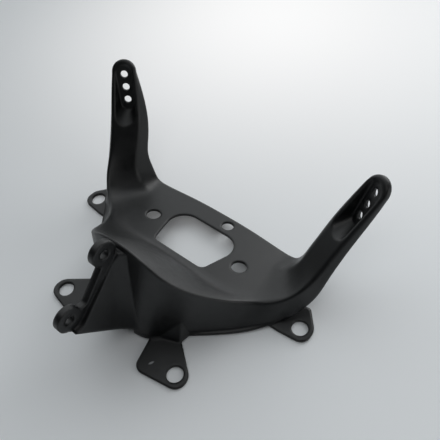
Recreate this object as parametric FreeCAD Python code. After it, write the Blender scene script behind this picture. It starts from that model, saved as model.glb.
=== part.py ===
"""Motorbike fairing stay: one thin-walled aluminium casting, satin black, in millimetres.

The stay lies as it does on a bench, on its four headlamp tabs. X runs across the bike, and the left
half mirrors the right. The deck carries the instruments, the two arms carry the mirrors, and the
beak bolts to the steering head by two cross holes. The tabs and the wall face the headlamp.
"""
import math
import os

import FreeCAD
import Part

V = FreeCAD.Vector
ORIGIN = V(0, 0, 0)
UP = V(0, 0, 1)
ACROSS = V(1, 0, 0)

# Walls and bends of the cast skin
WALL = 3.2              # thickness
CREASE_BEND = 3.5       # reach of the bend along the back of each arm
DISH_BEND = 10.0        # reach of the hollow bend from deck to ramp
RIM_BEND = 3.5          # reach of the bend along the rim
BEND_LANES = 3          # faces side by side in each bend
BEND_SHARE = 0.45       # most of a strip that a bend may take

# Deck: a flat plate that falls away from the nose
DECK_HEIGHT = 20.8      # top of the deck at the instrument holes
DECK_FALL = 0.22        # drop of the deck for each millimetre away from the nose
GAUGE_X = 66.6          # instrument holes, one on either side
GAUGE_Y = 45.3
GAUGE_HOLE = 18.0
CLIP_X = 14.7           # single hole for the loom clip, off the middle
CLIP_Y = 89.0
CLIP_HOLE = 15.0

# Instrument opening: narrow on the nose side, wide and round on the far side
OPENING_NEAR_Y = 15.5
OPENING_FAR_Y = 75.5
OPENING_NEAR_HALF = 37.0
OPENING_FAR_HALF = 52.5
OPENING_NEAR_R = 9.0
OPENING_FAR_R = 22.0

# Guide lines of the skin on the right half, from the middle of the stay out to the arm root.
# Rim and foot are points in space; dish, crease and edge are on the deck, with a lift off it.
RIM = [(0, -49, 119), (28, -49.5, 116), (50, -48, 97), (70, -36, 75), (90, -10, 44),
       (108, 13, 29.5), (124, 26, 28.5), (138, 37, 33), (147, 47, 42.5)]
FOOT = [(0, -80, 8), (28, -79, 8), (46, -67, 4.2), (63, -48, 4.2), (85, -30, 4.2),
        (106, -11, 4.2), (123, 7, 4.2), (142, 31, 8), (157, 54, 30)]
DISH = [(0, 8, 0), (26, 8, 0), (49, 6, 0), (70, 7, 0), (89, 16, 0),
        (104, 28, 0), (117, 40, 1), (129, 51, 9), (137, 61, 24)]
CREASE = [(0, 70, 0), (24, 70, 0), (48, 70, 0), (66, 70, 0), (82, 72, 0),
          (94, 72, 0), (103, 71, 1), (114, 73, 9), (125, 77, 27)]
EDGE = [(0, 102, 0), (24, 102, 0), (48, 101, 0), (70, 99, 0), (88, 97.5, 0),
        (100, 97, 0), (108, 97, 2), (113, 98, 7), (118, 100, 18)]
LIP = 5.0               # width of the lip along the foot of the wall
LIP_POINTS = range(2, 7)    # guide points where the foot carries the lip

# Arms: outer and far edge of the face, then reach and slant of the far and of the outer flange
TIP_X = 169.3           # centre of the round tip
TIP_Y = 129.9
TIP_Z = 137.7
TIP_R = 14.8            # radius of the tip
TIP_DEPTH = 6.0         # how far the wall round the tip reaches back
FLANGE_BREAK = 0.85     # where the lip's line runs on down the outer flange
TIP_CENTRE = V(TIP_X, TIP_Y, TIP_Z)
TIP_ACROSS = V(-0.86, 0.51, 0.0)
ARM = [(V(154.0, 64.2, 56.0), V(128.0, 85.5, 56.0), 17.5, 45.0, 13.0, 17.0),
       (V(158.1, 75.0, 69.2), V(132.0, 98.3, 69.2), 16.5, 45.0, 11.0, 17.0),
       (V(165.6, 91.7, 93.6), V(138.8, 114.6, 93.6), 14.5, 45.0, 9.0, 15.0),
       (TIP_CENTRE + V(7.7, -19.1, -16.0), TIP_CENTRE + V(-19.5, -0.3, -16.0), 9.0, 25.0, 7.0, 8.0),
       (TIP_CENTRE - TIP_ACROSS * TIP_R, TIP_CENTRE + TIP_ACROSS * TIP_R, TIP_DEPTH, 0.0, TIP_DEPTH, 0.0)]

# Mirror pads: three bolt holes in a recess that deepens down the arm
PAD_HOLE = 8.8
PAD_PITCH = 15.6
PAD_MIDDLE = TIP_CENTRE + V(-2.7, -3.7, -18.9)
PAD_UP = V(0.242, 0.318, 0.916)
PAD_NORMAL = V(-0.624, -0.690, 0.368)
PAD_BELOW = 4.0         # from the lowest hole to the centre of the recess's low end
PAD_TOP_R = 10.0
PAD_LOW_R = 9.0
PAD_FLOOR = 4.0         # thickness of the pad behind the recess
PAD_WALL = 2.5          # thickness of the metal round the recess
PAD_REACH = 20.0        # the bolt holes are drilled this far to either side
MOUTH_TOP_R = 12.0
MOUTH_LOW_R = 13.5
MOUTH_ROW = len(ARM) - 3    # cross line of the arm at the recess mouth's low end

# Headlamp tabs: flat plates at the foot of the wall
TAB_HOLE = 18.0
FRONT_TAB = [(62, -38, 0), (36, -62, 0), (36.5, -73, 6), (46.5, -109.5, 10), (103, -99.5, 13),
             (98.5, -80.5, 14), (66.5, -56.5, 4)]
FRONT_TAB_HOLE = (85.6, -88.0)
REAR_TAB = [(121, 14, 0), (140, 14, 8), (173, 17.5, 12), (172, 37, 14), (153, 59, 6), (138, 44, 0)]
REAR_TAB_HOLE = (158.2, 30.2)
GUSSET_BASE = [(41, -70.5), (66.4, -60.2), (69, -45), (55, -53.5)]  # rib on the front tab
GUSSET_APEX = V(61.5, -45.3, 28.8)

# Beak: hollow fin with two lugs for the steering head
LUG_UPPER = (-68.2, 123.2)      # y and z of the upper cross hole
LUG_LOWER = (-126.4, 83.8)
LUG_R = 14.0
LUG_HALF = 3.6
LUG_HOLE = 11.0
SPOT_R = 16.5           # half width of the flat milled from lug to lug
FIN_SIDE = [(-50.5, 110, 0), (-57, 113, 5), (-64, 124, 3), (-73, 114.4, 0), (-106, 84.3, 6),
            (-124, 89, 3), (-138, 78.5, 6), (-131.5, 69, 7), (-77, 10.5, 0), (-72, 10.5, 0)]
CORE_SIDE = [(-47, 88, 0), (-60, 93, 4), (-83, 93, 4), (-101, 77, 6), (-112, 70, 5), (-118, 40, 0),
             (-80, -10, 0), (-62, -10, 0)]
FIN_LEAN = 0.274        # the fin's root leans back with the wall, for each millimetre up
FIN_ROOT_Y = -82.2      # outer face of the wall, run down to the bench

# Plan views of the fin and of its core: half width, distance before the wall, and corner radius
FIN_LOW_Z = -10.0
FIN_TOP_Z = 130.0
FIN_LOW = [(45, -20, 0), (21.6, -1, 40), (17.3, 100, 0)]
FIN_TOP = [(45, -8, 0), (1.0, -1, 18), (0.8, 100, 0)]
CORE_TOP_Z = 95.0
CORE_LOW = [(32, -40, 0), (32, -14, 0), (19.0, -3.4, 24), (14.0, 100, 0)]
CORE_TOP = [(32, -40, 0), (32, -12, 0), (2.9, -4.2, 18), (1.7, 100, 0)]


def unit(vector):
    """The same direction with length one."""
    return vector * (1.0 / vector.Length)


def on_deck(x, y, lift=0.0):
    """Point on the top of the deck, or lifted above it."""
    return V(x, y, DECK_HEIGHT - DECK_FALL * (y - GAUGE_Y) + lift)


def outline(corners, place):
    """Closed wire round corners (a, b, radius), put in space by place."""
    points = [V(a, b, 0) for a, b, _ in corners]
    radii = [radius for _, _, radius in corners]
    pieces = []
    ends = []
    for i, point in enumerate(points):
        back = unit(points[i - 1] - point)
        ahead = unit(points[(i + 1) % len(points)] - point)
        half = back.getAngle(ahead) / 2
        reach = radii[i] / math.tan(half)
        first = place(point + back * reach)
        last = place(point + ahead * reach)
        ends.append((first, last))
        if radii[i] > 0:
            middle = place(point + unit(back + ahead) * (radii[i] / math.sin(half) - radii[i]))
            pieces.append(Part.Arc(first, middle, last).toShape())
    for i, (first, _) in enumerate(ends):
        pieces.append(Part.LineSegment(ends[i - 1][1], first).toShape())
    return Part.Wire(Part.__sortEdges__(pieces))


def teardrop(low, up, normal, length, low_r, top_r):
    """Wire round two circles, the lower at low and the upper a length along up."""
    side = up.cross(normal)
    rise = (low_r - top_r) / length
    out = math.sqrt(1 - rise * rise)
    top = low + up * length
    right = side * out + up * rise
    left = up * rise - side * out
    return Part.Wire([
        Part.Arc(top + right * top_r, top + up * top_r, top + left * top_r).toShape(),
        Part.LineSegment(top + left * top_r, low + left * low_r).toShape(),
        Part.Arc(low + left * low_r, low - up * low_r, low + right * low_r).toShape(),
        Part.LineSegment(low + right * low_r, top + right * top_r).toShape(),
    ])


def mirrored(shape):
    """The shape's twin on the left half."""
    return shape.mirror(ORIGIN, ACROSS)


def rod(centre, axis, radius, half):
    """Round bar along axis, as long on both sides of its centre."""
    return Part.makeCylinder(radius, 2 * half, centre - unit(axis) * half, axis)


# Skin: strips between six guide lines, from the far edge over crease, dish and rim to foot and lip

def body_row(i):
    """Guide points of one cross line between the middle and the arm root."""
    rim = V(*RIM[i])
    foot = V(*FOOT[i])
    down = foot - rim
    run = V(down.x, down.y, 0) if i in LIP_POINTS else down
    return [on_deck(*EDGE[i]), on_deck(*CREASE[i]), on_deck(*DISH[i]), rim, foot, foot + unit(run) * LIP]


def arm_frame(i):
    """Middle of the arm's face at a station, the way to its far edge, and the way out of the face."""
    middles = [(row[0] + row[1]) * 0.5 for row in ARM]
    across = unit(ARM[i][1] - ARM[i][0])
    along = middles[min(i + 1, len(ARM) - 1)] - middles[max(i - 1, 0)]
    return middles[i], across, unit(along.cross(across))


def arm_row(i):
    """Guide points of one cross line of the arm: a flat face with a flange on each side."""
    middle, across, normal = arm_frame(i)
    rim, crease, far, far_slant, outer, outer_slant = ARM[i]
    tilt = math.radians(far_slant)
    edge = crease + (across * math.sin(tilt) - normal * math.cos(tilt)) * far
    tilt = math.radians(outer_slant)
    out = across * -math.sin(tilt) - normal * math.cos(tilt)
    return [edge, crease, middle, rim, rim + out * (outer * FLANGE_BREAK), rim + out * outer]


def guide_rows():
    """Cross lines from the left tip to the right tip."""
    right = [body_row(i) for i in range(len(RIM))] + [arm_row(i) for i in range(len(ARM))]
    left = [[V(-p.x, p.y, p.z) for p in row] for row in reversed(right[1:])]
    return left + right


def strip_normals(rows, i):
    """Outward direction of each strip at one cross line, square to the flat end at the two tips."""
    row = rows[i]
    ahead = rows[min(i + 1, len(rows) - 1)]
    behind = rows[max(i - 1, 0)]
    normals = []
    for j in range(len(row) - 1):
        along = ahead[j] - behind[j] + ahead[j + 1] - behind[j + 1]
        if row in (ahead, behind):
            square = unit((row[1] - row[0]).cross(row[3] - row[1]))
            along = square * along.dot(square)
        normals.append(unit((row[j + 1] - row[j]).cross(along)))
    return normals


def outside_line(row):
    """Control points of one cross line of the outside: single ends, and three for each bend."""
    line = [[row[0]]]
    for j, bend in enumerate((CREASE_BEND, DISH_BEND, RIM_BEND), start=1):
        before = row[j - 1] - row[j]
        after = row[j + 1] - row[j]
        line.append([row[j] + unit(before) * min(bend, before.Length * BEND_SHARE),
                     row[j],
                     row[j] + unit(after) * min(bend, after.Length * BEND_SHARE)])
    return line + [[row[-2]], [row[-1]]]


def inside_line(row, normals):
    """Control points of one cross line of the inside, one wall under the outside."""
    line = [[row[0] - normals[0] * WALL]]
    for j in range(1, len(row) - 1):
        mitre = (normals[j - 1] + normals[j]) * (1.0 / (1.0 + normals[j - 1].dot(normals[j])))
        line.append([row[j] - mitre * WALL])
    return line + [[row[-1] - normals[-1] * WALL]]


def cubic_strip(rows, degree):
    """Surface that is cubic along the stay and of the given degree across it."""
    spans = len(rows) - 3
    surface = Part.BSplineSurface()
    surface.buildFromPolesMultsKnots(
        rows, [4] + [1] * (spans - 1) + [4], [degree + 1, degree + 1],
        [float(k) for k in range(spans + 1)], [0.0, 1.0], False, False, 3, degree)
    return surface


def strips(lines):
    """Strips from one end of the cross lines to the other, flat ones and bent ones by turns."""
    made = []
    for j in range(len(lines[0])):
        if len(lines[0][j]) == 3:
            made.append(cubic_strip([line[j] for line in lines], 2))
        if j + 1 < len(lines[0]):
            made.append(cubic_strip([[line[j][-1], line[j + 1][0]] for line in lines], 1))
    return made


def spans_of(strip):
    """One strip cut at its knots, and a bend also along its length, into nearly plain pieces."""
    lanes = BEND_LANES if strip.VDegree == 2 else 1
    pieces = []
    for k in range(int(strip.bounds()[1])):
        for lane in range(lanes):
            piece = strip.copy()
            piece.segment(float(k), float(k + 1), lane / lanes, (lane + 1) / lanes)
            pieces.append(piece)
    return pieces


def ruled(a, b):
    """Face between two like curves."""
    return Part.makeRuledSurface(a.toShape(), b.toShape())


def skin():
    """The cast skin, closed along its edges and across its two ends."""
    rows = guide_rows()
    outside = [spans_of(strip) for strip in strips([outside_line(row) for row in rows])]
    inside = [spans_of(strip) for strip in
              strips([inside_line(row, strip_normals(rows, i)) for i, row in enumerate(rows)])]
    pieces = [piece for strip in outside + inside for piece in strip]
    faces = [piece.toShape() for piece in pieces]
    sides = [(outside[0], inside[0], 0.0), (outside[-1], inside[-1], 1.0)]
    for over, under, side in sides:
        faces += [ruled(a.vIso(side), b.vIso(side)) for a, b in zip(over, under)]
    last = len(rows) - 3
    for end in (0.0, float(last)):
        rim = [piece.uIso(end).toShape() for piece in pieces if end in piece.bounds()[:2]]
        gaps = [Part.LineSegment(over[0 if end == 0 else -1].value(end, side),
                                 under[0 if end == 0 else -1].value(end, side)).toShape()
                for over, under, side in sides]
        faces.append(Part.Face(Part.Wire(Part.__sortEdges__(rim + gaps))))
    shell = Part.Shell(faces)
    shell.sewShape()
    solid = Part.Solid(shell)
    if solid.Volume < 0:
        solid.reverse()
    return solid


# Arm tips and mirror pads

def tip_cap():
    """Round end of the arm, with the wall that runs round it."""
    centre, across, normal = arm_frame(len(ARM) - 1)
    corners = [(0, 0, 0), (TIP_R, 0, RIM_BEND), (TIP_R, -TIP_DEPTH, 0), (TIP_R - WALL, -TIP_DEPTH, 0),
               (TIP_R - WALL, -WALL, 0), (0, -WALL, 0)]
    profile = outline(corners, lambda p: centre + across * p.x + normal * p.y)
    return Part.Face(profile).revolve(centre, normal, -180)


def pad_wires(grow, floor_shift, mouth_shift):
    """Outlines of the recess at its floor and at its mouth, grown and shifted along their normals."""
    floor_normal = unit(PAD_NORMAL)
    floor_up = unit(floor_normal.cross(PAD_UP.cross(floor_normal)))
    floor_low = PAD_MIDDLE - floor_up * (PAD_PITCH + PAD_BELOW) + floor_normal * floor_shift
    low, low_across, _ = arm_frame(MOUTH_ROW)
    top, top_across, _ = arm_frame(len(ARM) - 1)
    up = unit(top - low)
    normal = unit(up.cross(low_across + top_across))
    floor = teardrop(floor_low, floor_up, floor_normal, 2 * PAD_PITCH + PAD_BELOW,
                     PAD_LOW_R + grow, PAD_TOP_R + grow)
    mouth = teardrop(low + normal * mouth_shift, up, normal, (top - low).Length,
                     MOUTH_LOW_R + grow, MOUTH_TOP_R + grow)
    return [floor, mouth]


def pad_cup():
    """Metal round and behind the recess."""
    return Part.makeLoft(pad_wires(PAD_WALL, -PAD_FLOOR, -WALL / 2), True, True)


def pad_tools():
    """The recess, and the three bolt holes through its floor."""
    holes = [rod(PAD_MIDDLE + unit(PAD_UP) * (PAD_PITCH * k), PAD_NORMAL, PAD_HOLE / 2, PAD_REACH)
             for k in (-1, 0, 1)]
    return [Part.makeLoft(pad_wires(0.0, 0.0, WALL / 2), True, True)] + holes


# Deck openings

def deck_tools():
    """The instrument opening and the holes round it."""
    corners = [(-OPENING_NEAR_HALF, OPENING_NEAR_Y, OPENING_NEAR_R),
               (OPENING_NEAR_HALF, OPENING_NEAR_Y, OPENING_NEAR_R),
               (OPENING_FAR_HALF, OPENING_FAR_Y, OPENING_FAR_R),
               (-OPENING_FAR_HALF, OPENING_FAR_Y, OPENING_FAR_R)]
    opening = Part.Face(outline(corners, lambda p: p)).extrude(UP * (2 * DECK_HEIGHT))
    square = V(0, DECK_FALL, 1)
    gauges = [rod(on_deck(x, GAUGE_Y), square, GAUGE_HOLE / 2, 2 * WALL) for x in (-GAUGE_X, GAUGE_X)]
    return [opening, rod(on_deck(CLIP_X, CLIP_Y), square, CLIP_HOLE / 2, 2 * WALL)] + gauges


# Headlamp tabs

def tab(corners, hole):
    """Flat tab with a rounded end and a grommet hole."""
    plate = Part.Face(outline(corners, lambda p: p)).extrude(UP * WALL)
    return plate.cut(rod(V(hole[0], hole[1], 0), UP, TAB_HOLE / 2, 2 * WALL))


def gusset():
    """Pointed rib that ties the front tab to the wall."""
    base = [V(x, y, WALL / 2) for x, y in GUSSET_BASE]
    return Part.makeLoft([Part.makePolygon(base + base[:1]), Part.Vertex(GUSSET_APEX)], True, True)


# Beak

def fin_plan(corners, height):
    """Plan view of the fin at a height, from its corners on the right half."""
    ring = corners + [(-half, run, radius) for half, run, radius in reversed(corners)]
    return outline(ring, lambda p: V(p.x, FIN_ROOT_Y + FIN_LEAN * height - p.y, height))


def fin_block(side, low, top, top_z):
    """Body with the given side view, and a plan view that changes from low to top."""
    width = low[0][0]
    flank = Part.Face(outline(side, lambda p: V(-width, p.x, p.y))).extrude(ACROSS * (2 * width))
    return flank.common(Part.makeLoft([fin_plan(low, FIN_LOW_Z), fin_plan(top, top_z)], True, True))


def lug_rods(radius, half):
    """Bars across both lugs."""
    return [rod(V(0, y, z), ACROSS, radius, half) for y, z in (LUG_UPPER, LUG_LOWER)]


def mill_flat():
    """Cut that leaves the right side of the front strip flat, from lug to lug."""
    low = V(LUG_HALF, *LUG_LOWER)
    run = V(LUG_HALF, *LUG_UPPER) - low
    ring = teardrop(low, unit(run), ACROSS, run.Length, SPOT_R, SPOT_R)
    return Part.Face(ring).extrude(ACROSS * FIN_LOW[0][0])


def beak_onto(body):
    """The body with the hollow fin, its milled flats and the two lugs."""
    body = body.fuse(fin_block(FIN_SIDE, FIN_LOW, FIN_TOP, FIN_TOP_Z))
    body = body.cut(fin_block(CORE_SIDE, CORE_LOW, CORE_TOP, CORE_TOP_Z))
    flat = mill_flat()
    body = body.cut([flat, mirrored(flat)]).fuse(lug_rods(LUG_R, LUG_HALF))
    return body.cut(lug_rods(LUG_HOLE / 2, 2 * LUG_HALF))


def stay():
    """The whole casting, with the middle of its underside at the origin."""
    right = [tip_cap(), pad_cup(), tab(FRONT_TAB, FRONT_TAB_HOLE), tab(REAR_TAB, REAR_TAB_HOLE), gusset()]
    tools = pad_tools()
    body = beak_onto(skin())
    body = body.fuse(right + [mirrored(piece) for piece in right])
    body = body.cut(deck_tools() + tools + [mirrored(tool) for tool in tools])
    box = body.optimalBoundingBox()
    body.translate(V(0, -box.Center.y, -box.ZMin))
    return body


casting = stay()
os.makedirs("parts", exist_ok=True)
casting.exportStep("parts/fairing_stay.step")
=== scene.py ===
"""Motorbike fairing stay, one black-coated casting, lying on a pale table under soft light."""
import math

import bpy
from mathutils import Matrix, Vector

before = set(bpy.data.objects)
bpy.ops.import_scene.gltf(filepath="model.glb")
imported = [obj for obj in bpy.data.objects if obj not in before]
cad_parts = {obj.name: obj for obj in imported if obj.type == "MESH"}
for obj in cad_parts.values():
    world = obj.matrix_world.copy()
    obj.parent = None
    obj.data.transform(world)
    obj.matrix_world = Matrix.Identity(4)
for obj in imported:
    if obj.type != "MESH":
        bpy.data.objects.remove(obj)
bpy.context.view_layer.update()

# The casting: one thin wall of cast aluminium, cleaned up, milled at the lugs and drilled, then
# coated all over. It carries the mirrors on its arms, the instruments on its deck, the headlamp on
# its four tabs, and hangs from the steering head by its beak.
MM = 0.001
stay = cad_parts["fairing_stay"]


def linear(code):
    """Linear colour, with full alpha, of an sRGB hex code."""
    channels = [int(code[i:i + 2], 16) / 255 for i in (1, 3, 5)]
    return [c / 12.92 if c <= 0.04045 else ((c + 0.055) / 1.055) ** 2.4 for c in channels] + [1.0]


def add(tree, kind, inputs=None, **settings):
    """New node with its settings; inputs gives a value or a link for each named or numbered socket."""
    node = tree.nodes.new(kind)
    for name, value in settings.items():
        setattr(node, name, value)
    for name, value in (inputs or {}).items():
        if isinstance(value, bpy.types.NodeSocket):
            tree.links.new(value, node.inputs[name])
        else:
            node.inputs[name].default_value = value
    return node


def new_material(name):
    """Empty node material and its tree."""
    material = bpy.data.materials.new(name)
    material.use_nodes = True
    material.node_tree.nodes.clear()
    return material, material.node_tree


# Satin black powder coat, baked on: a dark, slightly cool skin with a soft sheen. It shows the fine
# pebble of the powder, cloudy patches left by handling, and paler lines where edges have been rubbed.
COAT_DARK = "#0a0b0c"
COAT_LIGHT = "#141617"
COAT_RUBBED = "#3a3c3d"
COAT_SMOOTH = 0.34          # roughness where hands have polished the coat
COAT_DULL = 0.46            # and where they haven't
COAT_IOR = 1.5
PEBBLE_SIZE = 1.1 * MM      # drawn about three times as coarse as the real pebble, so that it shows
PEBBLE_DETAIL = 2.0
PEBBLE_DEPTH = 0.15 * MM
PEBBLE_STRENGTH = 0.30
PATCH_SIZE = 38 * MM        # cloudy patches, about as wide as a hand's touch
PATCH_DETAIL = 4.0
SCUFF_SIZE = 9 * MM         # fine scuffs, which break the sheen and the rubbed lines
SCUFF_DETAIL = 8.0
SCUFF_ROUGH = 0.65
SCUFF_LOW = 0.3             # noise values between which the sheen goes from smooth to dull
SCUFF_HIGH = 0.7
RUB_NONE = 0.48             # noise values between which an edge goes from whole to rubbed
RUB_FULL = 0.62
CAST_ROUND = 4.0 * MM       # fillets of the casting, and how the coat flows over its corners
CAST_SAMPLES = 8
EDGE_ROUND = 0.9 * MM       # width of the rubbed lines along the edges
EDGE_SAMPLES = 6
EDGE_FLAT = 0.97            # cosines of the turn between which an edge begins to rub and rubs fully
EDGE_SHARP = 0.80
MIX_A = 6                   # colour sockets of a Mix node
MIX_B = 7
MIX_OUT = 2

coat, tree = new_material("satin_black_powder_coat")
place = add(tree, "ShaderNodeTexCoord").outputs["Object"]
patches = add(tree, "ShaderNodeTexNoise", {"Vector": place, "Scale": 1 / PATCH_SIZE,
                                           "Detail": PATCH_DETAIL})
scuffs = add(tree, "ShaderNodeTexNoise", {"Vector": place, "Scale": 1 / SCUFF_SIZE,
                                          "Detail": SCUFF_DETAIL, "Roughness": SCUFF_ROUGH})
pebble = add(tree, "ShaderNodeTexNoise", {"Vector": place, "Scale": 1 / PEBBLE_SIZE,
                                          "Detail": PEBBLE_DETAIL})
tone = add(tree, "ShaderNodeMix", {"Factor": patches.outputs["Fac"], MIX_A: linear(COAT_DARK),
                                   MIX_B: linear(COAT_LIGHT)}, data_type="RGBA")

facing = add(tree, "ShaderNodeNewGeometry").outputs["Normal"]
corner = add(tree, "ShaderNodeBevel", {"Radius": EDGE_ROUND}, samples=EDGE_SAMPLES)
turn = add(tree, "ShaderNodeVectorMath", {0: corner.outputs["Normal"], 1: facing},
           operation="DOT_PRODUCT")
edge = add(tree, "ShaderNodeMapRange", {"Value": turn.outputs["Value"],
                                        "From Min": EDGE_FLAT, "From Max": EDGE_SHARP})
broken = add(tree, "ShaderNodeMapRange", {"Value": scuffs.outputs["Fac"],
                                          "From Min": RUB_NONE, "From Max": RUB_FULL})
worn = add(tree, "ShaderNodeMath", {0: edge.outputs["Result"], 1: broken.outputs["Result"]},
           operation="MULTIPLY")
rubbed = add(tree, "ShaderNodeMix", {"Factor": worn.outputs["Value"], MIX_A: tone.outputs[MIX_OUT],
                                     MIX_B: linear(COAT_RUBBED)}, data_type="RGBA")

# One small pale grey mark with a ragged edge on the front right tab.
MARK_PLACE = Vector((57.6, -95.9, 3.2)) * MM
MARK_TURN = math.radians(64)      # its long way, turned from X
MARK_LONG = 4.2 * MM              # half sizes
MARK_WIDE = 1.5 * MM
MARK_OUT = 1.45                   # reach plus noise, where the mark ends and where it is fully grey
MARK_IN = 0.95
MARK_GREY = "#8b8d8f"

spot = add(tree, "ShaderNodeMapping", {"Vector": place, "Location": MARK_PLACE,
                                       "Rotation": (0.0, 0.0, MARK_TURN),
                                       "Scale": (MARK_LONG, MARK_WIDE, MARK_WIDE)},
           vector_type="TEXTURE")
reach = add(tree, "ShaderNodeVectorMath", {0: spot.outputs["Vector"]}, operation="LENGTH")
ragged = add(tree, "ShaderNodeMath", {0: scuffs.outputs["Fac"], 1: reach.outputs["Value"]},
             operation="ADD")
marked = add(tree, "ShaderNodeMapRange", {"Value": ragged.outputs["Value"],
                                         "From Min": MARK_OUT, "From Max": MARK_IN})
colour = add(tree, "ShaderNodeMix", {"Factor": marked.outputs["Result"], MIX_A: rubbed.outputs[MIX_OUT],
                                     MIX_B: linear(MARK_GREY)}, data_type="RGBA")

rounded = add(tree, "ShaderNodeBevel", {"Radius": CAST_ROUND}, samples=CAST_SAMPLES)
sheen = add(tree, "ShaderNodeMapRange", {"Value": scuffs.outputs["Fac"],
                                         "From Min": SCUFF_LOW, "From Max": SCUFF_HIGH,
                                         "To Min": COAT_SMOOTH, "To Max": COAT_DULL})
grain = add(tree, "ShaderNodeBump", {"Height": pebble.outputs["Fac"], "Strength": PEBBLE_STRENGTH,
                                     "Distance": PEBBLE_DEPTH, "Normal": rounded.outputs["Normal"]})
skin = add(tree, "ShaderNodeBsdfPrincipled", {"Base Color": colour.outputs[MIX_OUT],
                                              "Roughness": sheen.outputs["Result"],
                                              "Normal": grain.outputs["Normal"], "IOR": COAT_IOR})
add(tree, "ShaderNodeOutputMaterial", {"Surface": skin.outputs["BSDF"]})

stay.data.materials.clear()
stay.data.materials.append(coat)

# The table: a wide sheet of matt coated paper, an even pale grey with a faint sheen. Behind the stay
# it carries a painted pool of light, standing in for the back window's sheen on the paper, and far
# away it runs into the studio's backdrop; the eye and the coat's gloss see both, and they add no light
# to the stay's matt side.
TABLE_HALF = 6.0
TABLE_DROP = 0.2 * MM       # gap under the stay, so that the two faces don't flicker
TABLE_COLOUR = "#eef1f3"
TABLE_SHEEN = 0.45          # roughness
# Painted light: a pale pool on the table around this spot stands in for the back window's sheen.
LIGHT_POOL_SPOT = Vector((-0.22, 0.52, 0.0))
LIGHT_POOL_REACH = 0.60
LIGHT_POOL_MOST = 0.9             # share of the painted pool of light at the spot
LIGHT_POOL_COLOUR = "#ffffff"
SWEEP_FROM = 0.7            # distances between which the sheet rises into the backdrop
SWEEP_TO = 2.2
BACKDROP = "#eceff1"

table_mesh = bpy.data.meshes.new("table")
table_mesh.from_pydata([(-TABLE_HALF, -TABLE_HALF, 0), (TABLE_HALF, -TABLE_HALF, 0),
                        (TABLE_HALF, TABLE_HALF, 0), (-TABLE_HALF, TABLE_HALF, 0)], [], [(0, 1, 2, 3)])
table = bpy.data.objects.new("table", table_mesh)
table.location.z = -TABLE_DROP
bpy.context.scene.collection.objects.link(table)
matt, tree = new_material("matt_table_sheet")
sheet = add(tree, "ShaderNodeBsdfPrincipled", {"Base Color": linear(TABLE_COLOUR),
                                               "Roughness": TABLE_SHEEN})
place = add(tree, "ShaderNodeTexCoord").outputs["Object"]
apart = add(tree, "ShaderNodeVectorMath", {0: place, 1: LIGHT_POOL_SPOT}, operation="DISTANCE")
# Painted pool of light: whitest at the spot, gone at its reach.
painted_light_pool = add(tree, "ShaderNodeMapRange", {"Value": apart.outputs["Value"], "From Max": LIGHT_POOL_REACH,
                                          "To Min": LIGHT_POOL_MOST, "To Max": 0.0},
             interpolation_type="SMOOTHSTEP")
away = add(tree, "ShaderNodeVectorMath", {0: place}, operation="LENGTH")
sweep = add(tree, "ShaderNodeMapRange", {"Value": away.outputs["Value"], "From Min": SWEEP_FROM,
                                         "From Max": SWEEP_TO}, interpolation_type="SMOOTHSTEP")
# The painted pool of light and the backdrop sweep together, shown to camera and gloss rays only.
pale = add(tree, "ShaderNodeMath", {0: painted_light_pool.outputs["Result"], 1: sweep.outputs["Result"]},
           operation="MAXIMUM")
ray = add(tree, "ShaderNodeLightPath")
seen = add(tree, "ShaderNodeMath", {0: ray.outputs["Is Camera Ray"], 1: ray.outputs["Is Glossy Ray"]},
           operation="MAXIMUM")
share = add(tree, "ShaderNodeMath", {0: pale.outputs["Value"], 1: seen.outputs["Value"]},
            operation="MULTIPLY")
tint = add(tree, "ShaderNodeMix", {"Factor": sweep.outputs["Result"], MIX_A: linear(LIGHT_POOL_COLOUR),
                                   MIX_B: linear(BACKDROP)}, data_type="RGBA")
pool_and_backdrop_glow = add(tree, "ShaderNodeEmission", {"Color": tint.outputs[MIX_OUT]})
blend = add(tree, "ShaderNodeMixShader", {0: share.outputs["Value"], 1: sheet.outputs["BSDF"],
                                          2: pool_and_backdrop_glow.outputs["Emission"]})
add(tree, "ShaderNodeOutputMaterial", {"Surface": blend.outputs["Shader"]})
table_mesh.materials.append(matt)

# The light: a broad soft window behind the stay, weaker soft panels on the right and overhead, and a
# studio that is pale behind, above and to the left and dark in front. The deck, flanges and scoops
# shine a little, and the faces towards the viewer stay black.
LIGHT_AIM = Vector((0.0, 0.0, 0.03))
SOFT_LIGHTS = {             # place and size in metres, power in watts
    "back_window": (Vector((0.10, 1.40, 0.80)), 1.0, 6.6),
    "side_panel": (Vector((1.25, 0.20, 0.50)), 0.8, 2.4),
    "top_panel": (Vector((0.24, -0.38, 1.20)), 0.5, 1.4),
}
STUDIO_PALE_WAY = Vector((-0.55, 0.60, 0.55))
STUDIO_TURN_FROM = 0.38     # cosines off the pale way between which it turns from dark to pale
STUDIO_TURN_TO = 0.78
STUDIO_DARK = "#202224"
STUDIO_PALE = "#f4f8fa"

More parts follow.
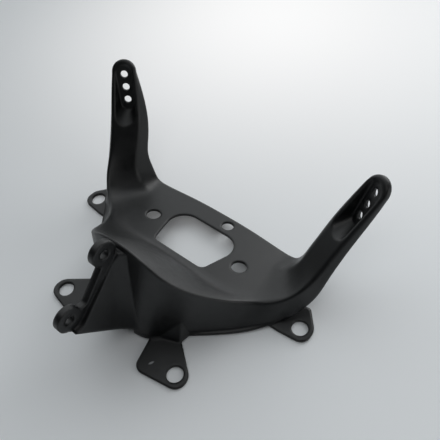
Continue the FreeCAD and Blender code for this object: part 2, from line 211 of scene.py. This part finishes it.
for name, (place, size, power) in SOFT_LIGHTS.items():
    light = bpy.data.lights.new(name, "AREA")
    light.size = size
    light.energy = power
    panel = bpy.data.objects.new(name, light)
    panel.location = place
    panel.rotation_euler = (LIGHT_AIM - place).to_track_quat("-Z", "Y").to_euler()
    bpy.context.scene.collection.objects.link(panel)

studio = bpy.data.worlds.new("studio")
studio.use_nodes = True
tree = studio.node_tree
way = add(tree, "ShaderNodeTexCoord").outputs["Generated"]
along = add(tree, "ShaderNodeVectorMath", {0: way, 1: STUDIO_PALE_WAY.normalized()},
            operation="DOT_PRODUCT")
glow = add(tree, "ShaderNodeMapRange", {"Value": along.outputs["Value"],
                                       "From Min": STUDIO_TURN_FROM, "From Max": STUDIO_TURN_TO},
           interpolation_type="SMOOTHSTEP")
wash = add(tree, "ShaderNodeMix", {"Factor": glow.outputs["Result"], MIX_A: linear(STUDIO_DARK),
                                   MIX_B: linear(STUDIO_PALE)}, data_type="RGBA")
eye = add(tree, "ShaderNodeLightPath").outputs["Is Camera Ray"]
shown = add(tree, "ShaderNodeMix", {"Factor": eye, MIX_A: wash.outputs[MIX_OUT],
                                    MIX_B: linear(BACKDROP)}, data_type="RGBA")
tree.links.new(shown.outputs[MIX_OUT], tree.nodes["Background"].inputs["Color"])
bpy.context.scene.world = studio

# The camera: above the front right corner, rolled a little, at the photograph's view. Its place, roll
# and focal length come from the photograph's own perspective.
CAMERA_PLACE = Vector((0.291, -0.2021, 0.516))
CAMERA_AIM = Vector((0.0177, 0.0720, 0.040))
CAMERA_ROLL = math.radians(-7.6)
PHOTO_WIDTH = 440
FOCUS_PIXELS = 530
SENSOR = 36.0               # width in millimetres
CLIP_START = 0.01

view = bpy.data.cameras.new("photo_view")
view.sensor_width = SENSOR
view.lens = SENSOR * FOCUS_PIXELS / PHOTO_WIDTH
view.clip_start = CLIP_START
camera = bpy.data.objects.new("photo_view", view)
camera.location = CAMERA_PLACE
aimed = (CAMERA_AIM - CAMERA_PLACE).to_track_quat("-Z", "Y").to_matrix()
camera.rotation_euler = (aimed @ Matrix.Rotation(CAMERA_ROLL, 3, "Z")).to_euler()
bpy.context.scene.collection.objects.link(camera)
bpy.context.scene.camera = camera
bpy.context.scene.view_settings.view_transform = "Standard"
